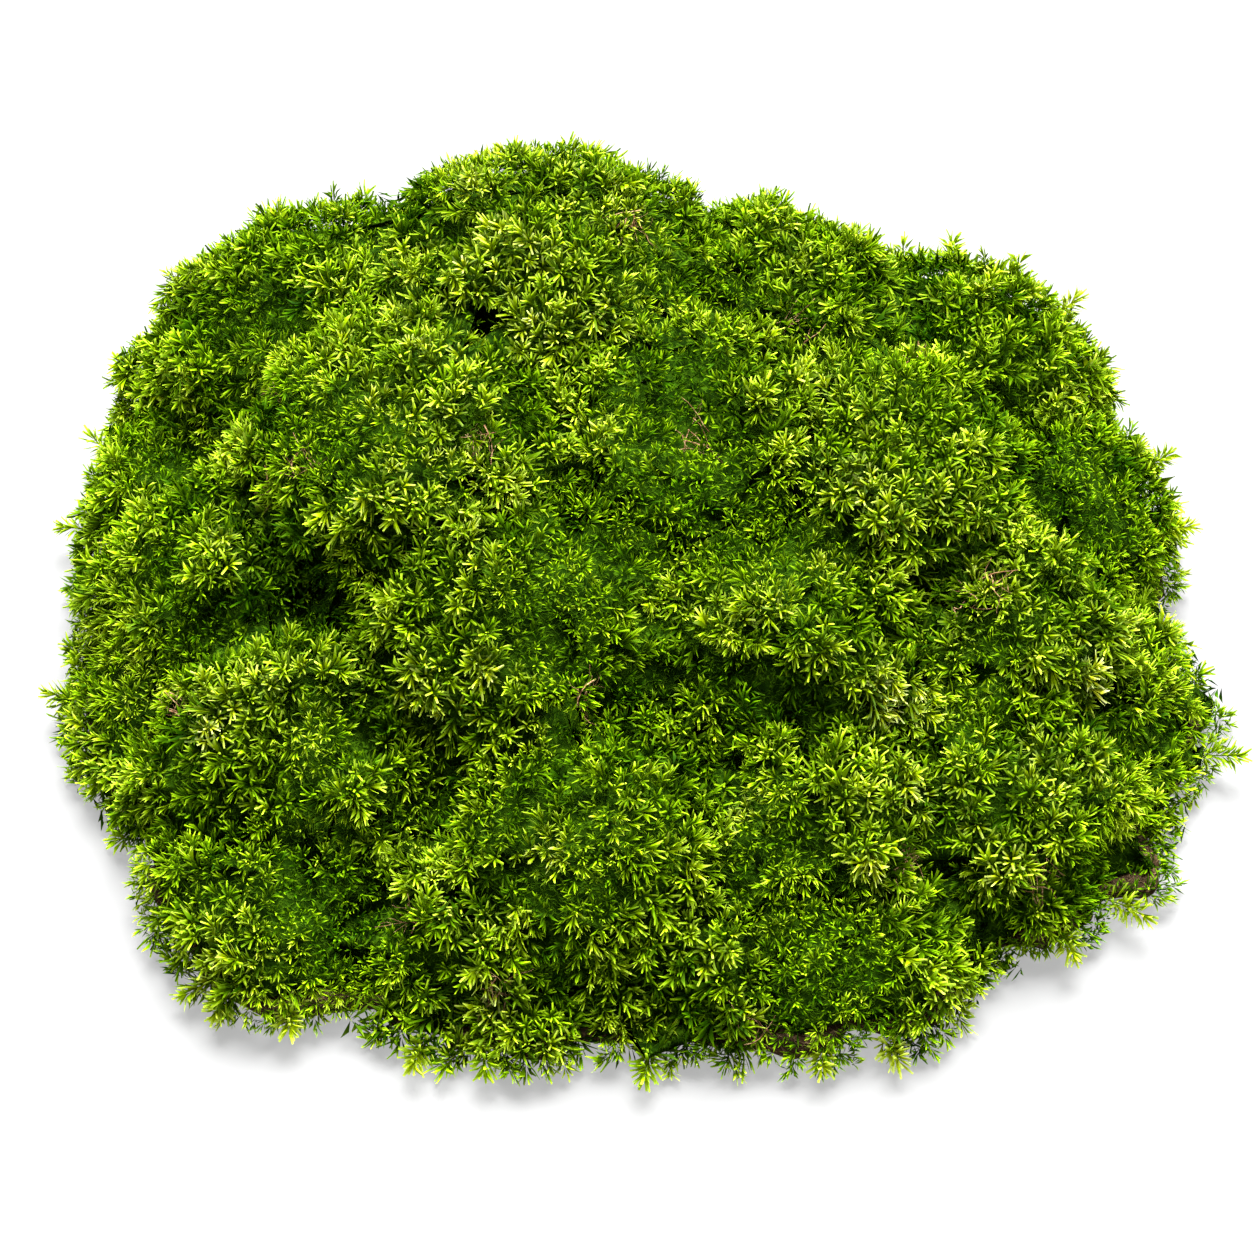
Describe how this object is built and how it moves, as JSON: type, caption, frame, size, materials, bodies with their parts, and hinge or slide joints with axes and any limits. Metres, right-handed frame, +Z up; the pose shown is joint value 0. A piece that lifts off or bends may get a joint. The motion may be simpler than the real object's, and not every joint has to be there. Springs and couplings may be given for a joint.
{
  "type": "moss clump",
  "caption": "Hummocky clump of living green woodland moss, as lifted off the ground, with soft cushions on a thin humus mat; rests flat as a forest-floor or terrarium dressing.",
  "frame": {"origin": "middle of the clump's box, on the surface that it rests on", "axes": "+Z up out of the cushions, +X along the clump's longest way, +Y to its high back; the low front faces -Y"},
  "size_m": [0.2914, 0.273, 0.0918],
  "materials": {
    "moss": "living moss: dense shoots of narrow soft leaves, deep green below with bright yellow-green tips, satin, slightly see-through",
    "shoot": "single leafy moss shoots, young yellow-green, satin, slightly see-through",
    "humus": "dark brown matted humus, rhizoids and dead moss stems, matt"
  },
  "bodies": {
    "root": {"humus_mat": "humus", "back_left_cushion": "moss", "back_middle_cushion": "moss", "back_right_cushion": "moss", "left_corner_cushion": "moss", "left_shoulder_cushion": "moss", "crest_cushion": "moss", "right_crown_cushion": "moss", "right_shoulder_cushion": "moss", "left_flank_cushion": "moss", "upper_left_cushion": "moss", "upper_middle_cushion": "moss", "upper_right_cushion": "moss", "right_flank_cushion": "moss", "left_middle_cushion": "moss", "centre_cushion": "moss", "centre_right_cushion": "moss", "right_middle_cushion": "moss", "left_rim_cushion": "moss", "front_left_cushion": "moss", "front_middle_cushion": "moss", "front_right_cushion": "moss", "right_front_cushion": "moss", "right_rim_cushion": "moss", "toe_left_cushion": "moss", "toe_middle_cushion": "moss", "toe_centre_cushion": "moss", "toe_right_cushion": "moss", "stray_shoot_01": "shoot", "stray_shoot_02": "shoot", "stray_shoot_03": "shoot", "stray_shoot_04": "shoot", "stray_shoot_05": "shoot", "stray_shoot_06": "shoot", "stray_shoot_07": "shoot", "stray_shoot_08": "shoot", "stray_shoot_09": "shoot", "stray_shoot_10": "shoot", "stray_shoot_11": "shoot", "stray_shoot_12": "shoot", "stray_shoot_13": "shoot", "stray_shoot_14": "shoot", "stray_shoot_15": "shoot", "stray_shoot_16": "shoot", "stray_shoot_17": "shoot"}
  },
  "joints": []
}
